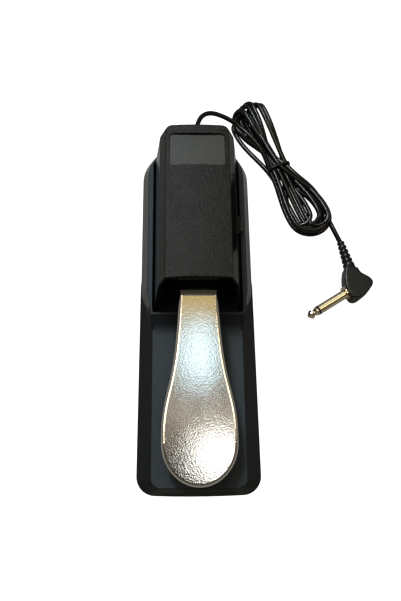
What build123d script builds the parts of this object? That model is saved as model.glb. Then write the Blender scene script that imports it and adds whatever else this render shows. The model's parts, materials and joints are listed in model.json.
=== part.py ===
"""A piano-style sustain pedal: chrome foot lever, moulded base and housing, contact switch and cord.

Millimetres. X runs to the right, Y from the toe of the pedal to the rear, Z up. The origin is on
the ground, on the middle line, under the mouth of the housing. Every piece is a solid of its own.
"""
import os
from math import atan, cos, pi, sin, tan, radians

from build123d import *

os.makedirs("parts", exist_ok=True)

# --- base -------------------------------------------------------------------------------------
BASE_FRONT = -119.3
BASE_REAR = 129.5
HALF_FRONT = 39.5           # half width on the ground at the toe
HALF_REAR = 38.0            # and at the rear
FRONT_BOW = 1.2             # how far the middle of the front edge stands out
CORNER_FRONT = 12.0
CORNER_REAR = 26.0
SKIRT_WALL = 2.4
SKIRT_BOTTOM = 0.8          # the skirt clears the ground, the pad does not
FLOOR_TOP = 12.0            # top of the front platform
FLOOR_HALF = 29.6
FLOOR_FRONT = BASE_FRONT + 4.2
PLINTH_TOP = 20.0           # top of the strips beside the housing
PLINTH_HALF = 33.2
PLINTH_REAR = 124.5
PLINTH_CORNER = 28.0
SILL_Y = -5.1               # where the plinth's top ends and the ramp starts
RAMP_FOOT_Y = -26.0
SILL_HALF = 31.0
SHOULDER_Y = 14.0           # where the plinth reaches its full width
PLATFORM_REAR = 45.0        # the platform runs on a little way inside the plinth
DECK_BOTTOM = 8.0
DECK_TOP = 10.6             # floor of the well that the housing stands in
WELL_HALF = 30.0
WELL_FRONT = -3.9
WELL_REAR = 116.6
FOOT_CORNER = 11.0          # the housing's rear corners, in plan
PAD_THICK = 1.6
PLATE_TOP = 3.2
RAMP_ANGLE = atan((PLINTH_TOP - SKIRT_BOTTOM) / (SILL_Y - RAMP_FOOT_Y))
RAMP_BASE_Y = SILL_Y - (PLINTH_TOP - FLOOR_TOP) / tan(RAMP_ANGLE)
RAMP_BLEND = 11.0           # radius where the ramp meets the platform
RAMP_RUN = 1.2 * RAMP_BLEND * tan(RAMP_ANGLE / 2)
RIM_ROUND = 1.0

# --- housing ----------------------------------------------------------------------------------
WALL = 2.4
FOOT_HALF = 29.0            # at the plinth's top
SHOULDER_Z = 48.0
SHOULDER_HALF = 24.9
TOP_Z = 56.0                # top face at its long edges
TOP_HALF = 21.0
CROWN = 1.5                 # rise of the top face in the middle
HOUSING_REAR = 115.6
TOP_ROUND = 1.0
MOUTH_FOOT_Y = -1.9
MOUTH_TOP_Y = 5.9
CEILING = 53.4
CEILING_HALF = 19.6
LABEL_SIZE = (36.6, 23.6)
LABEL_Y = 96.5
LABEL_FLOOR = 55.2

# --- pedal ------------------------------------------------------------------------------------
PEDAL_Z = 41.5              # height of the pedal's top plane over the origin
PEDAL_SLOPE = atan(0.1)
PEDAL_DEPTH = 6.0
PEDAL_WALL = 2.0
TOE_HALF = 23.3
TOE_Y = -91.0
TOE_REACH = 26.0
PEDAL_SIDE = ((12.0, 4.0), (13.7, -22.0), (17.2, -49.0), (21.9, -70.5), (TOE_HALF, TOE_Y))
ARM_HALF = 9.0
ARM_TOP = -6.2
ARM_THICK = 6.0
ARM_FRONT = -24.0
ARM_REAR = 77.0
ROOT_FACET = (4.4, 1.4)     # length and fall of the bevel at the pedal's root
PEDAL_ROUND = 2.2
PIVOT_LOCAL = (60.0, ARM_TOP - ARM_THICK / 2)
PIVOT_Y = PIVOT_LOCAL[0] * cos(PEDAL_SLOPE) - PIVOT_LOCAL[1] * sin(PEDAL_SLOPE)
PIVOT_Z = PEDAL_Z + PIVOT_LOCAL[0] * sin(PEDAL_SLOPE) + PIVOT_LOCAL[1] * cos(PEDAL_SLOPE)
HUB_RADIUS = 7.0
HUB_HALF = 12.0
BUSH_RADIUS = 4.0
PIN_RADIUS = 2.5
EAR_INNER = 14.0
EAR_THICK = 1.5
EAR_RADIUS = 6.0
CLIP_X = EAR_INNER + EAR_THICK + 0.3
CLIP_THICK = 0.8

# --- spring, stops and switch -----------------------------------------------------------------
SPRING_Y = 22.0
SPRING_RADIUS = 4.5         # of the wire's centre line
SPRING_WIRE = 0.6
SPRING_TURNS = 6
SPIGOT_RADIUS = SPRING_RADIUS - SPRING_WIRE - 0.5
SPRING_FOOT = 13.0
SPRING_HEAD = 30.0
DOWN_STOP_Y = 6.0
DOWN_STOP_TOP = 26.0
UP_STOP_Y = 78.0
UP_STOP_TOP = 36.6
PAD_FELT = 1.8
SWITCH_Y = 38.0
BOARD_Z = 15.4
BOARD_TOP = BOARD_Z + 1.6
PLUNGER_TOP = 29.5
PLUNGER_RADIUS = 1.6
NOSE_BOTTOM = PLUNGER_TOP + 0.15

# --- polarity switch --------------------------------------------------------------------------
POLARITY_Y = (50.5, 62.5)
KNOB_Y = (52.6, 55.6)
KNOB_Z = (22.0, 24.6)
KNOB_TIP = 31.4
BEZEL_X = 29.8

# --- screws -----------------------------------------------------------------------------------
PLATE_SCREWS = [(x, y) for x in (-24.0, 24.0) for y in (-100.0, -30.0, 88.0)]
HOUSING_SCREWS = [(x, y) for x in (-22.0, 22.0) for y in (20.0, 104.0)]
BRACKET_SCREWS = [(x, y) for x in (-9.0, 9.0) for y in (52.0, 70.0)]
BOARD_SCREWS = [(-1.5, 32.5), (21.0, 47.5)]
CLAMP_SCREWS = [(x, 98.0) for x in (-6.5, 6.5)]
PEDAL_SCREWS = [(0, -6.0), (0, -18.0)]
M3_RADIUS = 1.5
M3_HEAD = (2.8, 1.8)        # radius and height
PLATE_SCREW = 1.25
PLATE_SCREW_HEAD = 2.7
PLATE_HEAD_DEPTH = 0.9
BOARD_SCREW = 1.0
CLAMP_SCREW = 1.2
BOSS_RADIUS = 3.6

# --- cord -------------------------------------------------------------------------------------
CORD_DIAMETER = 3.5
CORD_Z = 24.0
GLAND_END = 130.0
GLAND_NECK = 4.0
NOTCH_RADIUS = 6.2          # the base's rim is notched under the gland
LEAD_ROUTE = [(0, GLAND_END, 24), (1.5, 142, 23), (9, 151, 19.5), (20, 151.5, 14),
              (30.5, 146.5, 9), (40.5, 136.5, 6.5), (49.5, 124.5, 6), (57, 112.5, 6)]
TAIL_ROUTE = [(91.2, 83.2, 3), (94.3, 75, 2.2), (97.4, 66.6, 2.8), (99.8, 58.6, 4.6), (101.5, 52.2, 6.6)]
WIRE_RADIUS = 0.5
SIGNAL_ROUTE = [(0.8, 92, 24.4), (4, 86, 23), (11, 82, 20.5), (17.5, 76, 19), (19.6, 69, 18.4),
                (19.8, 63.8, 17.5)]
GROUND_ROUTE = [(-0.8, 92, 23.4), (3.4, 84.5, 21.5), (12, 79.5, 18.6), (20.5, 74.5, 17.6),
                (22.4, 68.5, 17.6), (22.6, 63.8, 17.5)]
HANK_REACH = 75.0
HANK_PROFILE = [(-HANK_REACH, 14.5), (-35, 14.5), (-6, 11.6), (6, 11.6), (28, 13), (HANK_REACH, 11)]
HANK_OUTLINE = [(29.6, 150), (31, 162), (38.4, 168), (47, 167.5), (55.3, 154.4), (60.5, 138), (65.5, 122),
                (76.7, 107.2), (89.5, 97), (95, 82), (91.5, 69), (84, 59.5), (74, 59), (65.5, 72.5),
                (58, 89), (52.8, 104), (42, 120.5), (32, 136)]
TIE_CENTRE = (61.0, 112.4)
TIE_HALF_WIDTH = 9.0
TIE_HEIGHT = 11.0
TIE_RADIUS = 1.0
TIE_WALL = 1.2

# --- plug -------------------------------------------------------------------------------------
PLUG_Z = 7.0
PLUG_RADIUS = 3.175
PLUG_FOOT = (103.4, 14.6)   # where the plug's collar leaves the body, in plan
PLUG_TOWARDS = (-0.851, -0.525)
COLLAR_LENGTH = 2.4
SLEEVE_LENGTH = 21.8
RING_LENGTH = 1.4
TIP_LENGTH = 7.8
RELIEF_FROM = (101.5, 52.2)
RELIEF_TO = (106.6, 31.5)
RELIEF_RADII = (2.6, 4.3)
COLLAR_RADIUS = 4.8
BODY_DEPTH = 12.8
BODY_NEAR = [(102.3, 32.2), (101.2, 27), (100.9, 20.5), (101.4, 16)]
BODY_FAR = [(104.6, 9.4), (107.5, 8.3), (112.5, 10.8), (118, 15.6), (120.3, 20.5), (117.3, 24.6), (113.2, 27),
            (111, 31)]
TIP_PROFILE = [(0, 2.9), (1.2, 2.9), (2.6, 2.0), (3.4, 2.0), (4.6, PLUG_RADIUS), (5.6, 3.0), (7.2, 1.5),
               (TIP_LENGTH, 0.6)]


def save(piece, name):
    """Label a finished piece and write it as its own STEP file."""
    piece.part.label = name
    export_step(piece.part, f"parts/{name}.step")


def plan(z, half_front, half_rear, y_front, y_rear, r_front, r_rear, bow=0.0):
    """Sketch a tapered rectangle with rounded corners, square in front when r_front is 0."""
    with BuildSketch(Plane.XY.offset(z)) as outline:
        with BuildLine():
            Polyline((-half_front, y_front), (-half_rear, y_rear), (half_rear, y_rear), (half_front, y_front))
            if bow:
                ThreePointArc((half_front, y_front), (0, y_front - bow), (-half_front, y_front))
            else:
                Line((half_front, y_front), (-half_front, y_front))
        make_face()
        fillet(outline.vertices().group_by(Axis.Y)[-1], r_rear)
        if r_front:
            fillet(outline.vertices().filter_by_position(Axis.Y, y_front - 0.1, y_front + 0.1), r_front)
    return outline.sketch


def plinth_plan(z, half_sill, y_sill, half, y_shoulder, half_rear, y_rear, r_rear):
    """Sketch the plinth: parallel sides that draw in towards the sill, rounded at the rear."""
    with BuildSketch(Plane.XY.offset(z)) as outline:
        with BuildLine():
            Polyline(
                (-half_sill, y_sill),
                (half_sill, y_sill),
                (half, y_shoulder),
                (half_rear, y_rear),
                (-half_rear, y_rear),
                (-half, y_shoulder),
                close=True,
            )
        make_face()
        fillet(outline.vertices().group_by(Axis.Y)[-1], r_rear)
        fillet(outline.vertices().filter_by_position(Axis.Y, y_shoulder - 0.1, y_shoulder + 0.1), 30)
    return outline.sketch


def pillars(places, radius, z_low, z_high, mode=Mode.ADD):
    """Round bosses or holes along Z at several places."""
    with BuildSketch(Plane.XY.offset(z_low)) as rounds:
        with Locations(*places):
            Circle(radius)
    extrude(rounds.sketch, amount=z_high - z_low, mode=mode)


def block(x_range, y_range, z_range, mode=Mode.ADD):
    """A box between two corners."""
    with BuildSketch(Plane.XY.offset(z_range[0])) as footprint:
        with Locations(((x_range[0] + x_range[1]) / 2, (y_range[0] + y_range[1]) / 2)):
            Rectangle(x_range[1] - x_range[0], y_range[1] - y_range[0])
    extrude(footprint.sketch, amount=z_range[1] - z_range[0], mode=mode)


def cross_pin(radius, x_low, x_high, mode=Mode.ADD):
    """A cylinder along X on the pedal's pivot axis."""
    with BuildSketch(Plane.YZ.offset(x_low)) as round_end:
        with Locations((PIVOT_Y, PIVOT_Z)):
            Circle(radius)
    extrude(round_end.sketch, amount=x_high - x_low, mode=mode)


def barrel(radius, y_low, y_high, x=0.0, z=CORD_Z, mode=Mode.ADD):
    """A cylinder along Y, by default on the line where the cord comes in."""
    with BuildSketch(Plane.XZ.offset(-y_high)) as round_end:
        with Locations((x, z)):
            Circle(radius)
    extrude(round_end.sketch, amount=y_high - y_low, mode=mode)


def stop_area(y):
    """X and Y ranges of a stop block and of the felt on it."""
    return (-6, 6), (y - 3, y + 3)


# --- base pieces ------------------------------------------------------------------------------
with BuildPart() as foot_pad:
    pad_plan = plan(0, HALF_FRONT - 4.5, HALF_REAR - 4.4, BASE_FRONT + 4, BASE_REAR - 4, 9, 22)
    extrude(pad_plan, amount=PAD_THICK)
save(foot_pad, "foot_pad")

with BuildPart() as base_plate:
    plate_plan = plan(PAD_THICK, HALF_FRONT - 6, HALF_REAR - 5.8, BASE_FRONT + 5, BASE_REAR - 5, 8, 20)
    extrude(plate_plan, amount=PLATE_TOP - PAD_THICK)
    pillars(PLATE_SCREWS, PLATE_SCREW, PAD_THICK, PLATE_TOP, mode=Mode.SUBTRACT)
    pillars(PLATE_SCREWS, PLATE_SCREW_HEAD, PAD_THICK, PAD_THICK + PLATE_HEAD_DEPTH, mode=Mode.SUBTRACT)
save(base_plate, "base_plate")

with BuildPart() as base_plate_screws:
    pillars(PLATE_SCREWS, PLATE_SCREW_HEAD, PAD_THICK, PAD_THICK + PLATE_HEAD_DEPTH)
    pillars(PLATE_SCREWS, PLATE_SCREW, PAD_THICK + PLATE_HEAD_DEPTH, DECK_BOTTOM - 0.6)
save(base_plate_screws, "base_plate_screws")

with BuildPart() as base_shell:
    front_ends = BASE_FRONT + FRONT_BOW
    platform_foot = plan(
        SKIRT_BOTTOM, HALF_FRONT, HALF_REAR + 0.5, front_ends, PLATFORM_REAR, CORNER_FRONT, 25, FRONT_BOW
    )
    platform_top = plan(
        FLOOR_TOP, FLOOR_HALF, FLOOR_HALF, FLOOR_FRONT, PLATFORM_REAR - 5, 6, 18, FRONT_BOW / 2
    )
    loft([platform_foot, platform_top])
    plinth_foot = plinth_plan(
        SKIRT_BOTTOM, FLOOR_HALF, RAMP_FOOT_Y, HALF_REAR + 0.3, SHOULDER_Y, HALF_REAR, BASE_REAR, CORNER_REAR
    )
    plinth_top = plinth_plan(
        PLINTH_TOP, SILL_HALF, SILL_Y, PLINTH_HALF, SHOULDER_Y - 2, PLINTH_HALF, PLINTH_REAR, PLINTH_CORNER
    )
    loft([plinth_foot, plinth_top])
    toe_rim = base_shell.edges().filter_by_position(Axis.Z, FLOOR_TOP - 0.01, FLOOR_TOP + 0.01)
    fillet(toe_rim.filter_by_position(Axis.Y, BASE_FRONT, SILL_Y), RIM_ROUND)
    rims = base_shell.edges().filter_by_position(Axis.Z, PLINTH_TOP - 0.01, PLINTH_TOP + 0.01)
    fillet(rims, RIM_ROUND)
    with BuildSketch(Plane.YZ.offset(-FLOOR_HALF + RIM_ROUND)):
        ramp_foot = (RAMP_BASE_Y - RAMP_RUN, FLOOR_TOP)
        ramp_head = (RAMP_BASE_Y + RAMP_RUN * cos(RAMP_ANGLE), FLOOR_TOP + RAMP_RUN * sin(RAMP_ANGLE))
        buried = (RAMP_BASE_Y + 1, FLOOR_TOP - 1)
        with BuildLine():
            FilletPolyline(ramp_foot, (RAMP_BASE_Y, FLOOR_TOP), ramp_head, radius=RAMP_BLEND)
            Line(ramp_head, buried)
            Line(buried, ramp_foot)
        make_face()
    extrude(amount=2 * (FLOOR_HALF - RIM_ROUND))
    well_plan = plan(DECK_TOP, WELL_HALF, WELL_HALF, WELL_FRONT, WELL_REAR, 1.5, FOOT_CORNER + 1)
    extrude(well_plan, amount=PLINTH_TOP + 1 - DECK_TOP, mode=Mode.SUBTRACT)
    hollow_foot = plan(
        SKIRT_BOTTOM,
        HALF_FRONT - 2.9,
        HALF_REAR - 2.7,
        front_ends + SKIRT_WALL,
        BASE_REAR - SKIRT_WALL,
        CORNER_FRONT - 2,
        CORNER_REAR - 2,
    )
    hollow_half = FLOOR_HALF + 0.8
    hollow_top = plan(DECK_BOTTOM, hollow_half, hollow_half, FLOOR_FRONT + 1.6, BASE_REAR - 6.4, 5, 20)
    loft([hollow_foot, hollow_top], mode=Mode.SUBTRACT)
    pillars(PLATE_SCREWS, BOSS_RADIUS, PLATE_TOP, DECK_BOTTOM)
    pillars(PLATE_SCREWS, PLATE_SCREW, PLATE_TOP, DECK_BOTTOM - 0.6, mode=Mode.SUBTRACT)
    pillars(BRACKET_SCREWS, BOSS_RADIUS, 4.0, DECK_BOTTOM)
    pillars(BRACKET_SCREWS, M3_RADIUS, 4.4, DECK_TOP, mode=Mode.SUBTRACT)
    pillars(HOUSING_SCREWS, M3_RADIUS + 0.2, DECK_BOTTOM, DECK_TOP, mode=Mode.SUBTRACT)
    block(*stop_area(DOWN_STOP_Y), (DECK_TOP, DOWN_STOP_TOP - PAD_FELT))
    block(*stop_area(UP_STOP_Y), (DECK_TOP, UP_STOP_TOP - PAD_FELT))
    pillars(BOARD_SCREWS, 2.6, DECK_TOP, BOARD_Z)
    pillars(BOARD_SCREWS, BOARD_SCREW, DECK_TOP, BOARD_Z, mode=Mode.SUBTRACT)
    barrel(NOTCH_RADIUS, WELL_REAR - 2, BASE_REAR + 1, mode=Mode.SUBTRACT)
save(base_shell, "base_shell")

# --- housing ----------------------------------------------------------------------------------
with BuildPart() as housing_cover:
    slope = (SHOULDER_HALF - TOP_HALF) / (TOP_Z - SHOULDER_Z)
    peak_z = TOP_Z + CROWN + 0.5
    peak_half = SHOULDER_HALF - slope * (peak_z - SHOULDER_Z)
    foot = plan(PLINTH_TOP, FOOT_HALF, FOOT_HALF, MOUTH_FOOT_Y, HOUSING_REAR, 0, FOOT_CORNER)
    shoulder = plan(SHOULDER_Z, SHOULDER_HALF, SHOULDER_HALF, 4.2, HOUSING_REAR, 0, 6.5)
    peak = plan(peak_z, peak_half, peak_half, MOUTH_TOP_Y + 0.4, HOUSING_REAR - 0.4, 0, 4)
    spigot = plan(DECK_TOP, FOOT_HALF, FOOT_HALF, MOUTH_FOOT_Y, HOUSING_REAR, 0, FOOT_CORNER)
    extrude(spigot, amount=PLINTH_TOP - DECK_TOP)
    loft([foot, shoulder])
    loft([shoulder, peak])
    crown_radius = (TOP_HALF**2 + CROWN**2) / (2 * CROWN)
    with BuildSketch(Plane.XZ.offset(-BASE_REAR)):
        with Locations((0, TOP_Z + CROWN - crown_radius)):
            Circle(crown_radius)
    extrude(amount=BASE_REAR - BASE_FRONT, mode=Mode.INTERSECT)
    top_edges = housing_cover.edges().filter_by_position(Axis.Z, TOP_Z - 0.6, TOP_Z + CROWN + 0.1)
    fillet(top_edges, TOP_ROUND)
    front = MOUTH_FOOT_Y - 10
    inner_rear = HOUSING_REAR - WALL
    inner_foot_half = FOOT_HALF - WALL
    inner_half = SHOULDER_HALF - WALL
    inner_foot = plan(PLINTH_TOP, inner_foot_half, inner_foot_half, front, inner_rear, 0, FOOT_CORNER - WALL)
    inner_shoulder = plan(SHOULDER_Z, inner_half, inner_half, front, inner_rear, 0, 4.5)
    inner_top = plan(CEILING, CEILING_HALF, CEILING_HALF, front, inner_rear - 1, 0, 4)
    hollow = plan(DECK_TOP, inner_foot_half, inner_foot_half, front, inner_rear, 0, FOOT_CORNER - WALL)
    extrude(hollow, amount=PLINTH_TOP - DECK_TOP, mode=Mode.SUBTRACT)
    loft([inner_foot, inner_shoulder], mode=Mode.SUBTRACT)
    loft([inner_shoulder, inner_top], mode=Mode.SUBTRACT)
    with BuildSketch(Plane.XY.offset(LABEL_FLOOR)):
        with Locations((0, LABEL_Y)):
            RectangleRounded(*LABEL_SIZE, 2.5)
    extrude(amount=5, mode=Mode.SUBTRACT)
    pillars(HOUSING_SCREWS, 3.5, DECK_TOP, 30)
    pillars(HOUSING_SCREWS, M3_RADIUS, DECK_TOP, 24, mode=Mode.SUBTRACT)
    block((FOOT_HALF - 1.6, BEZEL_X), (POLARITY_Y[0] - 0.5, POLARITY_Y[1] + 0.5), (PLINTH_TOP + 0.4, 26.2))
    window_y = (KNOB_Y[0] - 1, KNOB_Y[1] + 5)
    window_z = (KNOB_Z[0] - 0.6, KNOB_Z[1] + 0.6)
    block((20, BEZEL_X + 1), window_y, window_z, mode=Mode.SUBTRACT)
    barrel(GLAND_NECK, HOUSING_REAR - 8, HOUSING_REAR + 4, mode=Mode.SUBTRACT)
save(housing_cover, "housing_cover")

with BuildPart() as label_plate:
    with BuildSketch(Plane.XY.offset(LABEL_FLOOR)):
        with Locations((0, LABEL_Y)):
            RectangleRounded(LABEL_SIZE[0] - 0.6, LABEL_SIZE[1] - 0.6, 2.2)
    extrude(amount=0.6)
save(label_plate, "label_plate")

with BuildPart() as housing_screws:
    pillars(HOUSING_SCREWS, M3_HEAD[0], DECK_BOTTOM - M3_HEAD[1], DECK_BOTTOM)
    pillars(HOUSING_SCREWS, M3_RADIUS, DECK_BOTTOM, 22)
save(housing_screws, "housing_screws")

# --- pivot ------------------------------------------------------------------------------------
with BuildPart() as pivot_bracket:
    web_top = DECK_TOP + EAR_THICK
    block((-EAR_INNER - EAR_THICK, EAR_INNER + EAR_THICK), (47, 74), (DECK_TOP, web_top))
    ear_front = (PIVOT_Y - EAR_RADIUS, PIVOT_Z)
    ear_rear = (PIVOT_Y + EAR_RADIUS, PIVOT_Z)
    for ear_x in (-EAR_INNER - EAR_THICK, EAR_INNER):
        with BuildSketch(Plane.YZ.offset(ear_x)) as ear:
            with BuildLine():
                Polyline(ear_front, (49, web_top), (72, web_top), ear_rear)
                ThreePointArc(ear_rear, (PIVOT_Y, PIVOT_Z + EAR_RADIUS), ear_front)
            make_face()
        extrude(ear.sketch, amount=EAR_THICK)
    cross_pin(PIN_RADIUS, -20, 20, mode=Mode.SUBTRACT)
    pillars(BRACKET_SCREWS, M3_RADIUS, DECK_TOP, web_top, mode=Mode.SUBTRACT)
save(pivot_bracket, "pivot_bracket")

with BuildPart() as bracket_screws:
    pillars(BRACKET_SCREWS, M3_RADIUS, 4.8, web_top)
    pillars(BRACKET_SCREWS, M3_HEAD[0], web_top, web_top + M3_HEAD[1])
save(bracket_screws, "bracket_screws")

with BuildPart() as pivot_pin:
    cross_pin(PIN_RADIUS, -18.6, 18.6)
    for clip_x in (-CLIP_X - CLIP_THICK, CLIP_X):
        cross_pin(PIN_RADIUS + 1, clip_x, clip_x + CLIP_THICK, mode=Mode.SUBTRACT)
        cross_pin(PIN_RADIUS - 0.5, clip_x, clip_x + CLIP_THICK)
save(pivot_pin, "pivot_pin")

with BuildPart() as pin_clips:
    for clip_x in (-CLIP_X - CLIP_THICK, CLIP_X):
        cross_pin(PIN_RADIUS + 2.2, clip_x, clip_x + CLIP_THICK)
        cross_pin(PIN_RADIUS - 0.5, clip_x, clip_x + CLIP_THICK, mode=Mode.SUBTRACT)
save(pin_clips, "pin_clips")

with BuildPart() as pivot_bushes:
    for low, high, flange in ((-HUB_HALF, -4, -HUB_HALF - 0.8), (4, HUB_HALF, HUB_HALF)):
        cross_pin(BUSH_RADIUS, low, high)
        cross_pin(BUSH_RADIUS + 1.6, flange, flange + 0.8)
    cross_pin(PIN_RADIUS + 0.05, -20, 20, mode=Mode.SUBTRACT)
save(pivot_bushes, "pivot_bushes")

# --- pedal ------------------------------------------------------------------------------------
pedal_plane = Plane((0, 0, PEDAL_Z), x_dir=(1, 0, 0), z_dir=(0, -sin(PEDAL_SLOPE), cos(PEDAL_SLOPE)))
pedal_side = Plane((-20, 0, PEDAL_Z), x_dir=pedal_plane.y_dir, z_dir=(1, 0, 0))
under_plate = pedal_plane.offset(-PEDAL_DEPTH)
under_arm = under_plate.offset(-ARM_THICK)


def pedal_outline(inset, root, height):
    """Sketch the paddle shape on the pedal's own plane: narrow root, round toe."""
    side = [(x - inset, y) for x, y in PEDAL_SIDE[1:]]
    with BuildSketch(pedal_plane.offset(height)) as paddle:
        with BuildLine():
            edge = Spline((PEDAL_SIDE[0][0] - inset, root), *side, tangents=[(0.06, -1), (0, -1)])
            half_axes = (TOE_HALF - inset, TOE_REACH - inset)
            toe = EllipticalCenterArc((0, TOE_Y), *half_axes, start_angle=270, arc_size=90)
            Line(toe @ 0, (0, root))
            Line((0, root), edge @ 0)
        make_face()
        mirror(about=Plane.YZ)
    return paddle.sketch


def pedal_rounds(plane, radius):
    """Sketch the two screw rounds on a plane parallel to the pedal's."""
    with BuildSketch(plane) as rounds:
        with Locations(*PEDAL_SCREWS):
            Circle(radius)
    return rounds.sketch


with BuildPart() as pedal_plate:
    root = PEDAL_SIDE[0][1]
    extrude(pedal_outline(0, root, -PEDAL_DEPTH), amount=PEDAL_DEPTH)
    uprights = pedal_plate.edges().filter_by(Axis(pedal_plane.origin, pedal_plane.z_dir))
    fillet(uprights.filter_by_position(Axis.Y, 2, 6), 1.2)
    fillet(pedal_plate.faces().filter_by(pedal_plane).sort_by(Axis.Z)[-1].edges(), PEDAL_ROUND)
    facet_start = (root - ROOT_FACET[0], 0)
    with BuildSketch(pedal_side) as facet:
        with BuildLine():
            facet_end = (root, -ROOT_FACET[1])
            Polyline(facet_start, facet_end, (root + 1, 1), (root - ROOT_FACET[0], 1), close=True)
        make_face()
    extrude(facet.sketch, amount=40, mode=Mode.SUBTRACT)
    hollow_depth = PEDAL_DEPTH - PEDAL_WALL
    extrude(pedal_outline(PEDAL_WALL, 0, -PEDAL_DEPTH), amount=hollow_depth, mode=Mode.SUBTRACT)
    extrude(pedal_rounds(under_plate, BOSS_RADIUS - 0.2), amount=hollow_depth)
    extrude(pedal_rounds(under_plate, M3_RADIUS), amount=hollow_depth - 0.4, mode=Mode.SUBTRACT)
save(pedal_plate, "pedal_plate")

with BuildPart() as pedal_arm:
    with BuildSketch(under_arm):
        with Locations((0, (ARM_FRONT + ARM_REAR) / 2)):
            RectangleRounded(2 * ARM_HALF, ARM_REAR - ARM_FRONT, 3)
    extrude(amount=ARM_THICK)
    cross_pin(HUB_RADIUS, -HUB_HALF, HUB_HALF)
    cross_pin(BUSH_RADIUS, -HUB_HALF, HUB_HALF, mode=Mode.SUBTRACT)
    pillars([(0, SPRING_Y)], 6.0, SPRING_HEAD, SPRING_HEAD + 4)
    pillars([(0, SPRING_Y)], SPIGOT_RADIUS, SPRING_HEAD - 3.5, SPRING_HEAD)
    pillars([(0, SWITCH_Y)], 3.0, NOSE_BOTTOM, NOSE_BOTTOM + 6)
    extrude(pedal_rounds(under_arm, M3_RADIUS), amount=ARM_THICK, mode=Mode.SUBTRACT)
save(pedal_arm, "pedal_arm")

with BuildPart() as pedal_screws:
    extrude(pedal_rounds(under_arm.offset(-M3_HEAD[1]), M3_HEAD[0]), amount=M3_HEAD[1])
    extrude(pedal_rounds(under_arm, M3_RADIUS), amount=ARM_THICK + hollow_depth - 0.8)
save(pedal_screws, "pedal_screws")

# --- spring and stops -------------------------------------------------------------------------
with BuildPart() as spring_seat:
    pillars([(0, SPRING_Y)], 7.5, DECK_TOP, SPRING_FOOT - 0.1)
    pillars([(0, SPRING_Y)], SPIGOT_RADIUS, SPRING_FOOT - 0.1, SPRING_FOOT + 3)
save(spring_seat, "spring_seat")

with BuildPart() as return_spring:
    spring_length = SPRING_HEAD - SPRING_FOOT - 2 * SPRING_WIRE - 0.2
    with BuildLine():
        coil = Helix(
            pitch=spring_length / SPRING_TURNS,
            height=spring_length,
            radius=SPRING_RADIUS,
            center=(0, SPRING_Y, SPRING_FOOT + SPRING_WIRE + 0.1),
        )
    with BuildSketch(Plane(origin=coil @ 0, z_dir=coil % 0)):
        Circle(SPRING_WIRE)
    sweep()
save(return_spring, "return_spring")

with BuildPart() as down_stop_pad:
    block(*stop_area(DOWN_STOP_Y), (DOWN_STOP_TOP - PAD_FELT, DOWN_STOP_TOP))
save(down_stop_pad, "down_stop_pad")

with BuildPart() as up_stop_pad:
    block(*stop_area(UP_STOP_Y), (UP_STOP_TOP - PAD_FELT, UP_STOP_TOP))
save(up_stop_pad, "up_stop_pad")

# --- board and switches -----------------------------------------------------------------------
with BuildPart() as circuit_board:
    block((-5, 25), (29, 46), (BOARD_Z, BOARD_TOP))
    block((17.4, 25), (45, 65), (BOARD_Z, BOARD_TOP))
    pillars(BOARD_SCREWS, BOARD_SCREW, BOARD_Z, BOARD_TOP, mode=Mode.SUBTRACT)
save(circuit_board, "circuit_board")

with BuildPart() as board_screws:
    pillars(BOARD_SCREWS, BOARD_SCREW, DECK_TOP + 0.6, BOARD_TOP)
    pillars(BOARD_SCREWS, 2 * BOARD_SCREW, BOARD_TOP, BOARD_TOP + 1.2)
save(board_screws, "board_screws")

with BuildPart() as switch_body:
    block((-3.2, 6), (SWITCH_Y - 3.2, SWITCH_Y + 5), (BOARD_TOP, 26))
    pillars([(0, SWITCH_Y)], PLUNGER_RADIUS + 0.1, 20, 26, mode=Mode.SUBTRACT)
save(switch_body, "switch_body")

with BuildPart() as switch_plunger:
    pillars([(0, SWITCH_Y)], PLUNGER_RADIUS, 22, PLUNGER_TOP)
save(switch_plunger, "switch_plunger")

with BuildPart() as polarity_switch:
    block((17.8, 24.4), POLARITY_Y, (BOARD_TOP, 26))
    slot_y = (KNOB_Y[0] - 1.1, KNOB_Y[1] + 5.8)
    slot_z = (KNOB_Z[0] - 0.3, KNOB_Z[1] + 0.3)
    block((20.8, 24.4), slot_y, slot_z, mode=Mode.SUBTRACT)
save(polarity_switch, "polarity_switch")

with BuildPart() as polarity_slider:
    block((21.2, 24), (KNOB_Y[0] - 0.8, KNOB_Y[1] + 0.8), KNOB_Z)
    block((24, KNOB_TIP), KNOB_Y, KNOB_Z)
save(polarity_slider, "polarity_slider")

# --- cord inside the housing --------------------------------------------------------------------
with BuildPart() as cable_gland:
    barrel(6.5, HOUSING_REAR - WALL - 1.8, HOUSING_REAR - WALL)
    barrel(GLAND_NECK, HOUSING_REAR - WALL, HOUSING_REAR)
    barrel(5.2, HOUSING_REAR, HOUSING_REAR + 1.8)
    with BuildSketch(Plane.YZ):
        with BuildLine():
            Polyline(
                (HOUSING_REAR + 1.8, CORD_Z),
                (HOUSING_REAR + 1.8, CORD_Z + 3.6),
                (GLAND_END, CORD_Z + 2.5),
                (GLAND_END, CORD_Z),
                close=True,
            )
        make_face()
    revolve(axis=Axis((0, 0, CORD_Z), (0, 1, 0)))
    for groove in range(4):
        groove_y = HOUSING_REAR + 4 + 2.6 * groove
        barrel(4.0, groove_y, groove_y + 0.9, mode=Mode.SUBTRACT)
        barrel(2.4, groove_y, groove_y + 0.9)
    barrel(CORD_DIAMETER / 2, HOUSING_REAR - 8, GLAND_END, mode=Mode.SUBTRACT)
save(cable_gland, "cable_gland")

with BuildPart() as cord_clamp:
    block((-9.5, 9.5), (95, 101), (DECK_TOP, 28))
    barrel(CORD_DIAMETER / 2, 94, 102, mode=Mode.SUBTRACT)
    pillars(CLAMP_SCREWS, CLAMP_SCREW, 16, 28, mode=Mode.SUBTRACT)
save(cord_clamp, "cord_clamp")

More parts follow.
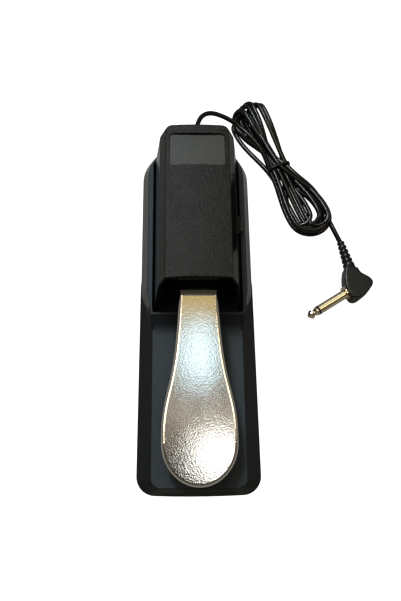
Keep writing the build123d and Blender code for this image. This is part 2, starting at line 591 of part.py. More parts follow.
with BuildPart() as clamp_screws:
    pillars(CLAMP_SCREWS, CLAMP_SCREW, 17, 28)
    pillars(CLAMP_SCREWS, 2.2, 28, 29.5)
save(clamp_screws, "clamp_screws")

with BuildPart() as inner_cord:
    barrel(CORD_DIAMETER / 2, 92, GLAND_END)
save(inner_cord, "inner_cord")


def largest_radii(route):
    """Give each corner of a route the radius 0.45 x shorter run / tan(half the turn)."""
    points = [Vector(*point) for point in route]
    radii = []
    for before, corner, after in zip(points, points[1:], points[2:]):
        turn = radians((corner - before).get_angle(after - corner))
        radii.append(0.45 * min((corner - before).length, (after - corner).length) / tan(turn / 2))
    return radii


def cord_length(route):
    """Length of the route once its corners are rounded."""
    with BuildLine() as path:
        FilletPolyline(*route, radius=largest_radii(route))
    return sum(edge.length for edge in path.edges())


def run_tube(route, radius):
    """A round tube along straight runs joined by tangent arcs."""
    with BuildLine() as path:
        FilletPolyline(*route, radius=largest_radii(route))
    with BuildSketch(Plane(origin=path.line @ 0, z_dir=path.line % 0)) as section:
        Circle(radius)
    sweep(section.sketch, path=path.line)


with BuildPart() as signal_wire:
    run_tube(SIGNAL_ROUTE, WIRE_RADIUS)
save(signal_wire, "signal_wire")

with BuildPart() as ground_wire:
    run_tube(GROUND_ROUTE, WIRE_RADIUS)
save(ground_wire, "ground_wire")

# --- free cord ----------------------------------------------------------------------------------
with BuildPart() as cord_lead:
    run_tube(LEAD_ROUTE, CORD_DIAMETER / 2)
save(cord_lead, "cord_lead")

with BuildPart() as cord_tail:
    run_tube(TAIL_ROUTE, CORD_DIAMETER / 2)
save(cord_tail, "cord_tail")

section_area = pi * CORD_DIAMETER**2 / 4
for route_name, route, tube in (("lead", LEAD_ROUTE, cord_lead), ("tail", TAIL_ROUTE, cord_tail)):
    radii = [round(radius, 1) for radius in largest_radii(route)]
    length = cord_length(route)
    print(f"{route_name}: radii {radii}, length {length:.1f}")
    print(f"{route_name}: volume {tube.part.volume:.0f}, section times length {section_area * length:.0f}")

along_hank = (0.371, -0.929, 0)
with BuildPart() as cord_hank:
    with BuildSketch():
        with BuildLine():
            Spline(*HANK_OUTLINE, periodic=True)
        make_face()
    extrude(amount=20)
    with BuildSketch(Plane((*TIE_CENTRE, 0), x_dir=along_hank, z_dir=(-0.929, -0.371, 0))):
        with BuildLine():
            Polyline((-HANK_REACH, 0), *HANK_PROFILE, (HANK_REACH, 0), close=True)
        make_face()
    extrude(amount=HANK_REACH, both=True, mode=Mode.INTERSECT)
save(cord_hank, "cord_hank")

tie_middle = (*TIE_CENTRE, 0.4 + TIE_HEIGHT / 2)
with BuildPart() as cord_tie:
    with BuildSketch(Plane(tie_middle, x_dir=(0.846, 0.533, 0), z_dir=(0.533, -0.846, 0))):
        RectangleRounded(2 * TIE_HALF_WIDTH, TIE_HEIGHT, 3.5)
        RectangleRounded(2 * (TIE_HALF_WIDTH - TIE_WALL), TIE_HEIGHT - 2 * TIE_WALL, 2.6, mode=Mode.SUBTRACT)
    extrude(amount=TIE_RADIUS, both=True)
save(cord_tie, "cord_tie")

# --- plug -----------------------------------------------------------------------------------
relief_axis = Vector(RELIEF_TO[0] - RELIEF_FROM[0], RELIEF_TO[1] - RELIEF_FROM[1], 0)
relief_plane = Plane(origin=(*RELIEF_FROM, PLUG_Z), x_dir=(0, 0, 1), z_dir=relief_axis)
with BuildPart() as plug_relief:
    with BuildSketch(relief_plane):
        Circle(RELIEF_RADII[0])
    with BuildSketch(relief_plane.offset(relief_axis.length)):
        Circle(RELIEF_RADII[1])
    loft()
    for groove in range(5):
        with BuildSketch(relief_plane.offset(2.4 + 3.4 * groove)):
            Circle(RELIEF_RADII[1] + 1.7)
            Circle(2.1 + 0.26 * groove, mode=Mode.SUBTRACT)
        extrude(amount=1.2, mode=Mode.SUBTRACT)
save(plug_relief, "plug_relief")

with BuildPart() as plug_body:
    with BuildSketch(Plane.XY.offset(PLUG_Z - BODY_DEPTH / 2)):
        with BuildLine():
            Spline(*BODY_NEAR)
            Line(BODY_NEAR[-1], BODY_FAR[0])
            Spline(*BODY_FAR)
            Line(BODY_FAR[-1], BODY_NEAR[0])
        make_face()
    extrude(amount=BODY_DEPTH)
save(plug_body, "plug_body")


def plug_plane(distance):
    """The plane across the plug's axis, a distance out from its foot."""
    along = Vector(*PLUG_TOWARDS, 0).normalized() * distance
    return Plane(origin=(PLUG_FOOT[0] + along.X, PLUG_FOOT[1] + along.Y, PLUG_Z), z_dir=(*PLUG_TOWARDS, 0))


RING_START = COLLAR_LENGTH + SLEEVE_LENGTH
with BuildPart() as plug_sleeve:
    with BuildSketch(plug_plane(0)):
        Circle(COLLAR_RADIUS)
    extrude(amount=COLLAR_LENGTH)
    with BuildSketch(plug_plane(COLLAR_LENGTH)):
        Circle(PLUG_RADIUS)
    extrude(amount=SLEEVE_LENGTH)
save(plug_sleeve, "plug_sleeve")

with BuildPart() as plug_ring:
    with BuildSketch(plug_plane(RING_START)):
        Circle(PLUG_RADIUS)
    extrude(amount=RING_LENGTH)
save(plug_ring, "plug_ring")

tip_plane = Plane(plug_plane(RING_START + RING_LENGTH).origin, x_dir=(*PLUG_TOWARDS, 0), z_dir=(0, 0, 1))
with BuildPart() as plug_tip:
    with BuildSketch(tip_plane):
        with BuildLine():
            Polyline((0, 0), *TIP_PROFILE, (TIP_LENGTH, 0), close=True)
        make_face()
    revolve(axis=Axis(tip_plane.origin, tip_plane.x_dir))
save(plug_tip, "plug_tip")
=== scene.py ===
"""Looks of the sustain pedal: materials, the coiled cord, the plug and the studio."""
import json
from math import cos, pi, radians, sin

import bmesh
import bpy
from mathutils import Matrix, Vector


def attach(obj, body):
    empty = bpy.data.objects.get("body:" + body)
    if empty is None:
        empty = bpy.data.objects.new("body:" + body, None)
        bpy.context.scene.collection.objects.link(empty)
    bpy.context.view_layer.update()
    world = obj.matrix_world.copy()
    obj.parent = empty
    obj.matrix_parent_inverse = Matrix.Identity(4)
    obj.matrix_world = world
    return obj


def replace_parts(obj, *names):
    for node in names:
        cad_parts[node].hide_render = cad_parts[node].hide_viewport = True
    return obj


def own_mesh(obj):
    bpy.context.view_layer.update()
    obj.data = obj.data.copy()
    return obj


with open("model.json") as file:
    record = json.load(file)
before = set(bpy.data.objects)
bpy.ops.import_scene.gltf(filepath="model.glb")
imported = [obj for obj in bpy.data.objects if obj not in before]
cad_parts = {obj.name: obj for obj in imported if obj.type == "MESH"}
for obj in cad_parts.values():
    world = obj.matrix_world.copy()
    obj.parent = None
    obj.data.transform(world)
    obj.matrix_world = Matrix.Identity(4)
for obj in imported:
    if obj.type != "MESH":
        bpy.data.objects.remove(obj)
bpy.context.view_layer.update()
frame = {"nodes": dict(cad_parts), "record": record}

MM = 0.001
CORD_DIAMETER = 3.5 * MM
CORD_RADIUS = CORD_DIAMETER / 2


# --- camera -----------------------------------------------------------------------------------
IMAGE_WIDTH = 401
FOCAL_PIXELS = 702
SENSOR_WIDTH = 36
CAMERA_AT = Vector((-0.0125, -0.1535, 0.455))
CAMERA_PITCH = radians(70)      # below the horizon
CAMERA_YAW = radians(5.22)      # to the right of +Y
CAMERA_ROLL = radians(4.77)


def add_camera():
    """A portrait camera, looking down along the pedal from beyond its toe."""
    data = bpy.data.cameras.new("camera")
    data.sensor_fit = "HORIZONTAL"
    data.sensor_width = SENSOR_WIDTH
    data.lens = FOCAL_PIXELS / IMAGE_WIDTH * SENSOR_WIDTH
    camera = bpy.data.objects.new("camera", data)
    bpy.context.collection.objects.link(camera)
    turn = Matrix.Rotation(-CAMERA_YAW, 4, "Z") @ Matrix.Rotation(pi / 2 - CAMERA_PITCH, 4, "X")
    camera.matrix_world = Matrix.Translation(CAMERA_AT) @ turn @ Matrix.Rotation(CAMERA_ROLL, 4, "Z")
    bpy.context.scene.camera = camera


# --- material helpers ---------------------------------------------------------------------------
class Nodes:
    """A small helper that adds shader nodes to one material and links them."""

    def __init__(self, name):
        self.material = bpy.data.materials.new(name)
        self.material.use_nodes = True
        self.tree = self.material.node_tree
        self.shader = self.tree.nodes["Principled BSDF"]

    def add(self, kind, **settings):
        node = self.tree.nodes.new(kind)
        for key, value in settings.items():
            setattr(node, key, value)
        return node

    def link(self, source, target):
        self.tree.links.new(source, target)

    def place(self):
        """Object coordinates, so that grain keeps its real size on every piece."""
        return self.add("ShaderNodeTexCoord").outputs["Object"]

    def noise(self, scale, detail, rough=0.5):
        node = self.add("ShaderNodeTexNoise")
        node.inputs["Scale"].default_value = scale
        node.inputs["Detail"].default_value = detail
        node.inputs["Roughness"].default_value = rough
        self.link(self.place(), node.inputs["Vector"])
        return node.outputs["Fac"]

    def cells(self, scale):
        node = self.add("ShaderNodeTexVoronoi", feature="SMOOTH_F1")
        node.inputs["Scale"].default_value = scale
        self.link(self.place(), node.inputs["Vector"])
        return node.outputs["Distance"]

    def span(self, value, low_out, high_out, low_in=0.0, high_in=1.0):
        node = self.add("ShaderNodeMapRange")
        node.inputs["From Min"].default_value = low_in
        node.inputs["From Max"].default_value = high_in
        node.inputs["To Min"].default_value = low_out
        node.inputs["To Max"].default_value = high_out
        self.link(value, node.inputs["Value"])
        return node.outputs["Result"]

    def uneven(self, factor, value, less, more):
        """The value, varied between two shares of itself."""
        return self.span(factor, value * less, value * more)

    def math(self, operation, first, second):
        node = self.add("ShaderNodeMath", operation=operation)
        for socket, value in zip(node.inputs, (first, second)):
            if isinstance(value, (int, float)):
                socket.default_value = value
            else:
                self.link(value, socket)
        return node.outputs["Value"]

    def blend(self, factor, first, second):
        """From the first to the second; each is a colour or another node's output."""
        node = self.add("ShaderNodeMix", data_type="RGBA")
        self.link(factor, node.inputs["Factor"])
        for key, color in (("A", first), ("B", second)):
            if isinstance(color, tuple):
                node.inputs[key].default_value = (*color, 1)
            else:
                self.link(color, node.inputs[key])
        return node.outputs["Result"]

    def bump(self, height, depth, strength=1.0, below=None):
        node = self.add("ShaderNodeBump")
        node.inputs["Distance"].default_value = depth
        node.inputs["Strength"].default_value = strength
        self.link(height, node.inputs["Height"])
        if below:
            self.link(below, node.inputs["Normal"])
        return node.outputs["Normal"]

    def facing(self, axis):
        """How far the surface faces along X, Y or Z."""
        split = self.add("ShaderNodeSeparateXYZ")
        self.link(self.add("ShaderNodeNewGeometry").outputs["Normal"], split.inputs["Vector"])
        return split.outputs[axis]

    def finish(self, **sockets):
        names = {"color": "Base Color", "rough": "Roughness", "metal": "Metallic", "normal": "Normal",
                 "specular": "Specular IOR Level"}
        for key, value in sockets.items():
            socket = self.shader.inputs[names[key]]
            if isinstance(value, (int, float)):
                socket.default_value = value
            else:
                self.link(value, socket)
        return self.material


# --- materials: scales are per metre, depths in metres --------------------------------------------
# painted shade: the colours of the upright sides, darker than the tops', for light that falls only from
# above
SHADED_SIDE_DARK = (0.004, 0.0036, 0.0034)
SHADED_SIDE_LIGHT = (0.009, 0.0078, 0.0070)
GRAIN_AND_PAINTED_LIGHT_STARTS, GRAIN_AND_PAINTED_LIGHT_IS_FULL = 0.60, 0.90        # how far up a surface faces, where the grain and the tops' lighter painted colour start and where they are full
FINE_GRAIN = 1.7                                # the fine grain's scale against the leather's
BEVEL_ROUGH = (0.12, 0.22)                      # extra roughness elsewhere, and on a bevel facing the rear
BEVEL_FACES = 0.35                              # how far a bevel faces the rear where it is fully satin


def plastic(name, dark, light, grain, grain_depth, top_rough, side_rough, specular=0.5):
    """Moulded plastic: leather grain on the surfaces that face up, smooth gloss on the sides, and painted
    light: the sides are painted darker than the tops, as painted shade.
    """
    m = Nodes(name)
    up = m.span(m.facing("Z"), 0.0, 1.0, GRAIN_AND_PAINTED_LIGHT_STARTS, GRAIN_AND_PAINTED_LIGHT_IS_FULL)
    upright = m.math("SUBTRACT", 1.0, up)
    leather = m.math("ADD", m.cells(grain), m.noise(grain * FINE_GRAIN, detail=4))
    smear = m.noise(scale=60, detail=4, rough=0.6)
    rough_top = m.math("MULTIPLY", m.uneven(smear, top_rough, 0.85, 1.15), up)
    rough_side = m.math("MULTIPLY", m.uneven(smear, side_rough, 0.7, 1.4), upright)
    tone = m.noise(scale=35, detail=5, rough=0.6)
    # painted light: the tops take the lighter colours and the upright sides the darker shaded ones, by how
    # far a surface faces up
    color = m.blend(up, m.blend(tone, SHADED_SIDE_DARK, SHADED_SIDE_LIGHT), m.blend(tone, dark, light))
    return m.finish(color=color, rough=m.math("ADD", rough_top, rough_side),
                    normal=m.bump(m.math("MULTIPLY", leather, up), grain_depth), specular=specular)


def soft_pvc(name, color, rough, marks=900):
    """Cord jacket and moulded PVC: a slight gloss with fine drawing marks and finger smears."""
    m = Nodes(name)
    light = tuple(1.6 * c + 0.004 for c in color)
    smear = m.noise(scale=120, detail=4, rough=0.6)
    return m.finish(color=m.blend(m.noise(scale=200, detail=4), color, light),
                    rough=m.uneven(smear, rough, 0.8, 1.3),
                    normal=m.bump(m.noise(marks, detail=3), depth=0.00005, strength=0.6))


def plated(name, dark, light, rough, speck, speck_depth, satin_bevel=False):
    """Plated metal over a slightly uneven casting; a bevel that faces the rear may be satin."""
    m = Nodes(name)
    stain = m.noise(scale=90, detail=5, rough=0.65)
    wave = m.bump(m.noise(scale=40, detail=2, rough=0.4), depth=0.0002, strength=0.3)
    gloss = m.uneven(stain, rough, 0.8, 1.25)
    if satin_bevel:
        satin = m.span(m.facing("Y"), 0.0, BEVEL_FACES, *BEVEL_ROUGH)
        gloss = m.math("ADD", gloss, satin)
    return m.finish(color=m.blend(stain, dark, light), metal=1.0, rough=gloss,
                    normal=m.bump(m.noise(speck, detail=2), speck_depth, below=wave))


def felt(name, dark, light):
    """Pressed fibres."""
    m = Nodes(name)
    fibres = m.noise(scale=1400, detail=6, rough=0.8)
    return m.finish(color=m.blend(fibres, dark, light), rough=0.95, specular=0.2,
                    normal=m.bump(fibres, depth=0.0004))


def moulded(name, dark, light, rough, grain=700, depth=0.00004):
    """Plain mouldings and coated parts: a faint spark-eroded texture and uneven gloss."""
    m = Nodes(name)
    return m.finish(color=m.blend(m.noise(scale=80, detail=5, rough=0.6), dark, light),
                    rough=m.uneven(m.noise(scale=150, detail=4), rough, 0.8, 1.2),
                    normal=m.bump(m.noise(grain, detail=4), depth))


LOOKS = {
    "housing_black": (plastic, dict(dark=(0.009, 0.009, 0.008), light=(0.019, 0.019, 0.015), grain=930,
                                    grain_depth=0.00034, top_rough=0.34, side_rough=0.10, specular=0.35)),
    # painted reflection: the base's tops are given a cool blue-grey colour for the cool light they mirror,
    # lighter than its painted-shade sides
    "base_black": (plastic, dict(dark=(0.038, 0.050, 0.062), light=(0.058, 0.074, 0.090), grain=1300,
                                 grain_depth=0.00024, top_rough=0.38, side_rough=0.12, specular=0.30)),
    "label_grey": (plastic, dict(dark=(0.026, 0.026, 0.022), light=(0.050, 0.049, 0.041), grain=1300,
                                 grain_depth=0.00010, top_rough=0.38, side_rough=0.3)),
    "pedal_chrome": (plated, dict(dark=(0.72, 0.70, 0.64), light=(0.88, 0.86, 0.82), rough=0.10,
                                  speck=1050, speck_depth=0.000034, satin_bevel=True)),
    "plug_nickel": (plated, dict(dark=(0.72, 0.62, 0.44), light=(0.92, 0.86, 0.72), rough=0.10,
                                 speck=300, speck_depth=0.00002)),
    "zinc_steel": (plated, dict(dark=(0.42, 0.43, 0.45), light=(0.62, 0.63, 0.65), rough=0.30,
                                speck=900, speck_depth=0.00004)),
    "spring_steel": (plated, dict(dark=(0.38, 0.38, 0.40), light=(0.55, 0.55, 0.57), rough=0.22,
                                  speck=1200, speck_depth=0.00002)),
    "pad_rubber": (moulded, dict(dark=(0.014, 0.014, 0.014), light=(0.030, 0.030, 0.029), rough=0.75,
                                 grain=1100, depth=0.00015)),
    "inner_black": (moulded, dict(dark=(0.012, 0.012, 0.013), light=(0.024, 0.024, 0.026), rough=0.45)),
    "nylon_white": (moulded, dict(dark=(0.70, 0.68, 0.62), light=(0.82, 0.81, 0.76), rough=0.40)),
    "board_green": (moulded, dict(dark=(0.015, 0.10, 0.045), light=(0.03, 0.17, 0.08), rough=0.32,
                                  grain=300, depth=0.00006)),
    "knob_grey": (moulded, dict(dark=(0.018, 0.018, 0.019), light=(0.035, 0.035, 0.037), rough=0.18)),
    "tie_black": (moulded, dict(dark=(0.006, 0.006, 0.006), light=(0.014, 0.014, 0.014), rough=0.35,
                                grain=1500, depth=0.00003)),
    "felt_grey": (felt, dict(dark=(0.12, 0.12, 0.125), light=(0.30, 0.30, 0.31))),
    "cord_black": (soft_pvc, dict(color=(0.005, 0.005, 0.006), rough=0.17)),
    "plug_black": (soft_pvc, dict(color=(0.008, 0.010, 0.013), rough=0.30, marks=500)),
    "wire_red": (soft_pvc, dict(color=(0.50, 0.03, 0.02), rough=0.30)),
    "wire_white": (soft_pvc, dict(color=(0.62, 0.61, 0.58), rough=0.30)),
}
MATERIALS = {slot: make(slot, **look) for slot, (make, look) in LOOKS.items()}


def dress_nodes():
    """Give every CAD node the material of its slot."""
    for row in frame["record"]["subparts"]:
        node = frame["nodes"][row["node"]]
        node.data.materials.clear()
        node.data.materials.append(MATERIALS[row["material_slot"]])


def new_piece(name, data, slot):
    """A piece that rides on the base."""
    piece = bpy.data.objects.new(name, data)
    bpy.context.collection.objects.link(piece)
    data.materials.append(MATERIALS[slot])
    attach(piece, "base")
    return piece


def copied_mesh(node):
    """A CAD node's own mesh, without its material."""
    data = frame["nodes"][node].data.copy()
    data.materials.clear()
    return data


def bent_tube(name, route, radius, steps, roundness):
    """A round tube as one spline, along a route in millimetres."""
    data = bpy.data.curves.new(name, "CURVE")
    data.dimensions = "3D"
    data.resolution_u = steps
    data.bevel_depth = radius
    data.bevel_resolution = roundness
    data.use_fill_caps = True
    spline = data.splines.new("NURBS")
    spline.points.add(len(route) - 1)
    for point, place in zip(spline.points, route):
        point.co = (*(value * MM for value in place), 1)
    spline.order_u = 3
    spline.use_endpoint_u = True
    return data


# --- cord, in millimetres -----------------------------------------------------------------------
LEAD = [(0, 130, 24), (1.5, 142, 23), (9, 151, 19.5), (20, 151.5, 14.5),
        (30.5, 146.5, 11.5), (40.5, 136.5, 11.5), (49.5, 124.5, 10.0)]
TAIL = [(94.3, 75, 2.4), (97.4, 66.6, 2.8), (99.8, 58.6, 4.6), (101.5, 52.2, 6.6)]
TIE_AT = Vector((61.0, 112.4, 0))
HANK_ALONG = Vector((0.371, -0.929, 0))     # from the tie towards the plug's end of the hank
HANK_ACROSS = Vector((0.929, 0.371, 0))
# where the strands lie in the tie, one after another: across it, and height
TIE_PLACES = [(-6.6, 5.1), (6.6, 1.8), (3.3, 1.8), (0, 1.8), (-6.6, 1.8),
              (-3.3, 1.8), (-3.3, 5.0), (0.1, 5.0), (-1.7, 8.0), (3.5, 5.0),
              (1.8, 8.0), (6.7, 5.0), (-5.0, 8.0), (0.1, 9.5), (5.2, 8.0)]
# the loops between those places, at the plug's end and at the other end in turn: reach, middle
# and half width, height, and how far the loop stands on edge
LOOPS = [
    (57, 5.5, 15.5, 1.9, 0.0), (54, 4.9, 4.0, 7.2, 5.3),
    (54.5, 4.8, 12.6, 3.0, 0.3), (50, -9.4, 7.8, 2.6, 0.8),
    (52.5, 3.8, 9.2, 4.6, 1.0), (58, -1.8, 4.0, 7.2, 5.3),
    (48, -1.4, 7.2, 4.8, 2.0), (56.5, -5.2, 4.0, 7.2, 5.3),
    (50.5, 4.8, 6.0, 6.6, 3.6), (54.5, -9.8, 4.0, 7.2, 5.3),
    (53.5, 9.4, 7.6, 7.0, 1.6), (55.5, 2.4, 4.2, 7.2, 5.2),
    (56, 5.0, 13.8, 6.6, 0.2), (52, -8.8, 5.6, 6.4, 4.4),
]
LEG_PARTS = (0.25, 0.52, 0.78)              # where a loop's legs have points, as shares of their length
TIP_ANGLES = (75, 45, 15, -15, -45, -75)    # where its round tip has them
TIP_SHARE = 0.3                             # of a loop's reach, at most, taken up by its round tip
LEAVING_POWER = 1.2                         # how soon a leg leaves its place in the tie
WIDENING_POWER = 1.4                        # how soon the loop opens to its full width
# the last strand, from the tie to the tail: along and across the hank, and height
LAST_STRAND = [(11, 8.5, 8.6), (21, 14.0, 7.4), (30, 17.5, 5.2), (38.3, 17.2, 3.2)]


def hank_point(along, across, height):
    place = TIE_AT + HANK_ALONG * along + HANK_ACROSS * across
    return (place.x, place.y, height)


def loop_steps(reach, half_width):
    """A loop's points: along from the tie, to the side as a share, and how free of the tie."""
    tip = min(half_width, TIP_SHARE * reach)
    leg = reach - tip
    out = [(leg * part, -sin(pi / 2 * part) ** WIDENING_POWER, sin(pi / 2 * part) ** LEAVING_POWER)
           for part in LEG_PARTS]
    turn = [(leg + tip * cos(radians(angle)), -sin(radians(angle)), 1.0) for angle in TIP_ANGLES]
    back = [(along, -side, free) for along, side, free in reversed(out)]
    return out + turn + back


def between(held, loose, free):
    return held + (loose - held) * free


def hank_points():
    """Loops with round tips that fan out on both sides of the tie, drawn together where it holds them."""
    points = []
    turning_step = len(LEG_PARTS) + len(TIP_ANGLES) // 2
    for number, (reach, middle, half, height, edge) in enumerate(LOOPS):
        towards = 1 if number % 2 == 0 else -1
        points.append(hank_point(0, *TIE_PLACES[number]))
        for step, (along, side, free) in enumerate(loop_steps(reach, (half ** 2 + edge ** 2) ** 0.5)):
            held_across, held_height = TIE_PLACES[number + (step >= turning_step)]
            side *= towards
            points.append(hank_point(towards * along, between(held_across, middle, free) + half * side,
                                     between(held_height, height, free) + edge * side))
    points.append(hank_point(0, *TIE_PLACES[-1]))
    return points


def add_cord():
    """The whole cord as one spline: lead, hank and tail."""
    last_strand = [hank_point(*place) for place in LAST_STRAND]
    route = [*LEAD, *hank_points(), *last_strand, *TAIL]
    data = bent_tube("cord", route, CORD_RADIUS, steps=6, roundness=5)
    piece = new_piece("cord", data, "cord_black")
    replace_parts(piece, "cord_lead", "cord_hank", "cord_tail")
    return piece


# --- tie, strain relief, plug body and spring ---------------------------------------------------
TIE_WIRE_RADIUS = 0.65 * MM
TIE_TURNS = 2
TIE_LENGTH = 1.4            # along the hank, over all its turns
TIE_HALF = 8.3
TIE_BOTTOM = 1.0
TIE_TOP = 11.2
TIE_CORNER = 2.6            # the height of a corner's slope, above and below
TIE_BOTTOM_SLOPE = 1        # and its width at the bottom
TIE_TOP_SLOPE = 2           # and at the top
TIE_CROWN = 0.1             # the rise at the top's middle
TWIST_POINTS = 6
TWIST_OUT = 0.1             # beyond the side of the turns
TWIST_SWING = 0.8           # along the hank, to and fro
TWIST_TURN = 1.9            # radians from point to point
TWIST_TOP = 4.2
TWIST_STEP = 0.35           # how much lower each point is


def tie_loop():
    """One turn round the hank: across it, and height."""
    low, high = TIE_BOTTOM + TIE_CORNER, TIE_TOP - TIE_CORNER
    flat, crown = TIE_HALF - TIE_BOTTOM_SLOPE, TIE_HALF - TIE_TOP_SLOPE
    return [(-TIE_HALF, low), (-flat, TIE_BOTTOM), (flat, TIE_BOTTOM), (TIE_HALF, low), (TIE_HALF, high),
            (crown, TIE_TOP), (0, TIE_TOP + TIE_CROWN), (-crown, TIE_TOP), (-TIE_HALF, high)]


def add_tie():
    """Turns of coated wire round the hank, their ends twisted together on one side."""
    loop = tie_loop()
    route = []
    for turn in range(TIE_TURNS):
        for step, (across, height) in enumerate(loop):
            along = -TIE_LENGTH / 2 + TIE_LENGTH * (turn + step / len(loop)) / TIE_TURNS
            route.append(hank_point(along, across, height))
    for k in range(TWIST_POINTS):
        along = TWIST_SWING * sin(TWIST_TURN * k)
        route.append(hank_point(along, -TIE_HALF - TWIST_OUT, TWIST_TOP - TWIST_STEP * k))
    data = bent_tube("twist_tie", route, TIE_WIRE_RADIUS, steps=8, roundness=3)
    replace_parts(new_piece("twist_tie", data, "tie_black"), "cord_tie")
    return "twist_tie"


RELIEF_FROM = Vector((101.5, 52.2, 7.0))
RELIEF_TO = Vector((106.6, 31.5, 7.0))
RELIEF_RADII = (2.6, 4.3)
RELIEF_LIP = (0.25, 0.5)        # the length of the bevel at its thin end, and how far it draws in
RIBS = 5
RIB_STEPS = 12
RIB_DEPTH = 0.9
RIBS_FROM = 0.6                 # from the thin end
RIBS_SHARE = 0.84               # of the whole length, where the ribs end
GROOVE_POWER = 0.7              # under 1 makes the grooves wide and steep
AROUND = 40


def turned_mesh(name, start, end, profile):
    """A closed turned mesh along start to end, from a list of (distance, radius)."""
    along = (end - start).normalized()
    up = Vector((0, 0, 1))
    side = along.cross(up)
    mesh = bmesh.new()
    rings = []
    for distance, radius in profile:
        centre = start + along * distance
        rings.append([mesh.verts.new((centre + side * radius * cos(a) + up * radius * sin(a)) * MM)
                      for a in (2 * pi * k / AROUND for k in range(AROUND))])
    for first, second in zip(rings, rings[1:]):
        for k in range(AROUND):
            after = (k + 1) % AROUND
            mesh.faces.new((first[k], first[after], second[after], second[k]))
    mesh.faces.new(rings[0])
    mesh.faces.new(reversed(rings[-1]))
    bmesh.ops.recalc_face_normals(mesh, faces=mesh.faces)
    for face in mesh.faces:
        face.smooth = True
    data = bpy.data.meshes.new(name)
    mesh.to_mesh(data)
    mesh.free()
    return data


def relief_profile(length):
    """Its radius at each distance from the thin end."""
    thin, thick = RELIEF_RADII
    lip_length, lip_depth = RELIEF_LIP
    profile = [(0, thin - lip_depth), (lip_length, thin)]
    steps = RIBS * RIB_STEPS
    for step in range(steps + 1):
        part = step / steps
        distance = RIBS_FROM + part * (length * RIBS_SHARE - RIBS_FROM)
        radius = thin + (thick - thin) * distance / length
        groove = max(0.0, -cos(2 * pi * RIBS * part)) ** GROOVE_POWER
        profile.append((distance, radius - RIB_DEPTH * groove))
    profile.append((length, thick))
    return profile


def add_relief():
    """The tapered strain relief with its soft ribs."""
    profile = relief_profile((RELIEF_TO - RELIEF_FROM).length)
    data = turned_mesh("relief_ribs", RELIEF_FROM, RELIEF_TO, profile)
    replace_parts(new_piece("relief_ribs", data, "plug_black"), "plug_relief")
    return "relief_ribs"


PLUG_CELL = 0.45 * MM
PLUG_SMOOTHING = 0.5
PLUG_SMOOTHED = 26      # times


def add_plug_body():
    """The moulded body of the plug: the CAD shape with its edges run off softly."""
    piece = new_piece("plug_moulding", copied_mesh("plug_body"), "plug_black")
    remesh = piece.modifiers.new("skin", "REMESH")
    remesh.mode = "VOXEL"
    remesh.voxel_size = PLUG_CELL
    remesh.use_smooth_shade = True
    soften = piece.modifiers.new("soften", "SMOOTH")
    soften.factor = PLUG_SMOOTHING
    soften.iterations = PLUG_SMOOTHED
    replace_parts(piece, "plug_body")
    return "plug_moulding"


def add_spring():
    """The return spring's own wire, on a mesh of its own."""
    piece = new_piece("spring_wire", copied_mesh("return_spring"), "spring_steel")
    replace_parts(piece, "return_spring")
    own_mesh(piece)


dress_nodes()
add_spring()
add_camera()
cord = add_cord()
on_cord = [add_tie(), add_relief(), add_plug_body(),
           "cable_gland", "inner_cord", "plug_sleeve", "plug_ring", "plug_tip"]

# --- studio -----------------------------------------------------------------------------------
# Boxes high over both sides and the rear, cards that the roof mirrors and cards that the pedal mirrors.
# Each has a name, a place, what it faces, its size, its brightness and its colour.
WHITE = (1, 1, 1)
GOLD = (1.0, 0.74, 0.30)
LIGHTS = [
    ("left_box", (-0.62, 0.05, 1.15), (0, 0.05, 0), (0.30, 0.8), 3.0, (1.0, 0.90, 0.70)),
    ("right_box", (0.66, 0.05, 1.15), (0, 0.05, 0), (0.24, 0.7), 2.6, (1.0, 0.86, 0.60)),
    ("rear_box", (0.0, 1.0, 1.0), (0, 0.1, 0), (0.9, 0.20), 2.0, (0.84, 0.92, 1.0)),
    ("roof_left_card", (-0.27, 0.47, 1.0), (-0.05, 0.05, 0), (0.17, 0.34), 26.0, (0.84, 0.94, 1.0)),
    ("roof_right_card", (0.25, 0.48, 1.0), (0.1, 0.1, 0), (0.30, 0.45), 0.9, (1.0, 0.92, 0.50)),
    ("gold_card", (0.03, 0.165, 1.0), (0.03, 0.165, 0), (0.40, 0.120), 0.50, (1.0, 0.72, 0.24)),
    ("cool_card", (0.028, 0.034, 1.0), (0.028, 0.034, 0), (0.070, 0.120), 1.9, (0.66, 0.86, 1.0)),
    ("left_gold_card", (-0.07, 0.034, 1.0), (-0.07, 0.034, 0), (0.10, 0.120), 0.26, GOLD),
    ("right_gold_card", (0.13, 0.034, 1.0), (0.13, 0.034, 0), (0.10, 0.120), 0.26, GOLD),
    ("grey_card", (0.03, -0.080, 1.0), (0.03, -0.080, 0), (0.30, 0.090), 0.30, (1.0, 0.88, 0.76)),
    ("white_card", (0.066, -0.166, 1.0), (0.066, -0.166, 0), (0.085, 0.070), 3.2, WHITE),
]
FLOOR_HALF = 4.0
FLOOR_DARK = (0.38, 0.38, 0.38)
FLOOR_LIGHT = (0.40, 0.40, 0.40)
FLOOR_GLOW = (0.02, 0.90)               # to everything else, and to the camera
ROOM_SEEN = (0.97, 0.97, 0.97, 1)
# the room that lights and is mirrored: how far up, from 0 to 1, and the colour there
ROOM_LOW = (0.25, (0.22, 0.19, 0.165, 1))
ROOM_HIGH = (0.85, (0.07, 0.065, 0.055, 1))


def add_card(name, place, target, size, radiance, color):
    """A soft rectangular light that shows with the given brightness in what mirrors it."""
    data = bpy.data.lights.new(name, "AREA")
    data.shape = "RECTANGLE"
    data.size, data.size_y = size
    data.energy = radiance * pi * size[0] * size[1]
    data.color = color
    light = bpy.data.objects.new(name, data)
    bpy.context.collection.objects.link(light)
    light.location = place
    light.rotation_euler = (Vector(target) - Vector(place)).to_track_quat("-Z", "Y").to_euler()


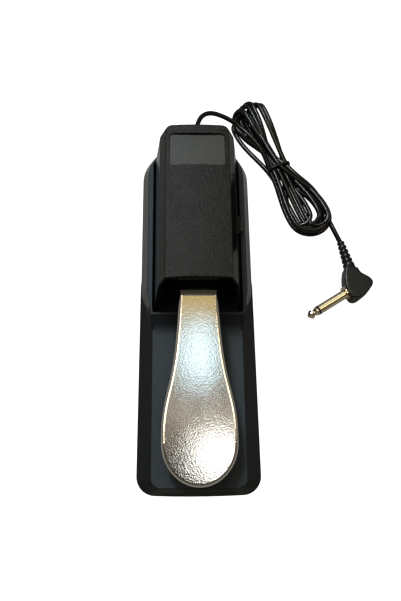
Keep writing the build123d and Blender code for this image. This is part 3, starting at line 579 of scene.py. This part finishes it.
def add_floor():
    """Grey paper that looks white to the camera only, so that it adds little light to the black sides."""
    corners = [(x * FLOOR_HALF, y * FLOOR_HALF, 0) for x, y in ((-1, -1), (1, -1), (1, 1), (-1, 1))]
    mesh = bpy.data.meshes.new("floor")
    mesh.from_pydata(corners, [], [(0, 1, 2, 3)])
    floor = bpy.data.objects.new("floor", mesh)
    bpy.context.collection.objects.link(floor)
    m = Nodes("floor_paper")
    m.shader.inputs["Emission Color"].default_value = (*WHITE, 1)
    seen = m.add("ShaderNodeLightPath").outputs["Is Camera Ray"]
    m.link(m.span(seen, *FLOOR_GLOW), m.shader.inputs["Emission Strength"])
    paper = m.blend(m.noise(scale=8, detail=2), FLOOR_DARK, FLOOR_LIGHT)
    mesh.materials.append(m.finish(color=paper, rough=0.9, specular=0.1))


def add_world():
    """A dim warm room, lighter low down and darker overhead, that the camera itself sees as white."""
    world = bpy.data.worlds.new("studio")
    world.use_nodes = True
    tree = world.node_tree
    shown = tree.nodes["Background"]
    shown.inputs["Color"].default_value = ROOM_SEEN
    room = tree.nodes.new("ShaderNodeBackground")
    place = tree.nodes.new("ShaderNodeTexCoord")
    split = tree.nodes.new("ShaderNodeSeparateXYZ")
    ramp = tree.nodes.new("ShaderNodeValToRGB")
    for stop, (position, color) in zip(ramp.color_ramp.elements, (ROOM_LOW, ROOM_HIGH)):
        stop.position = position
        stop.color = color
    path = tree.nodes.new("ShaderNodeLightPath")
    mix = tree.nodes.new("ShaderNodeMixShader")
    tree.links.new(place.outputs["Generated"], split.inputs["Vector"])
    tree.links.new(split.outputs["Z"], ramp.inputs["Fac"])
    tree.links.new(ramp.outputs["Color"], room.inputs["Color"])
    tree.links.new(path.outputs["Is Camera Ray"], mix.inputs["Fac"])
    tree.links.new(room.outputs["Background"], mix.inputs[1])
    tree.links.new(shown.outputs["Background"], mix.inputs[2])
    tree.links.new(mix.outputs["Shader"], tree.nodes["World Output"].inputs["Surface"])
    bpy.context.scene.world = world


add_floor()
add_world()
for light in LIGHTS:
    add_card(*light)
bpy.context.scene.view_settings.view_transform = "Standard"
bpy.context.scene.view_settings.look = "Medium High Contrast"
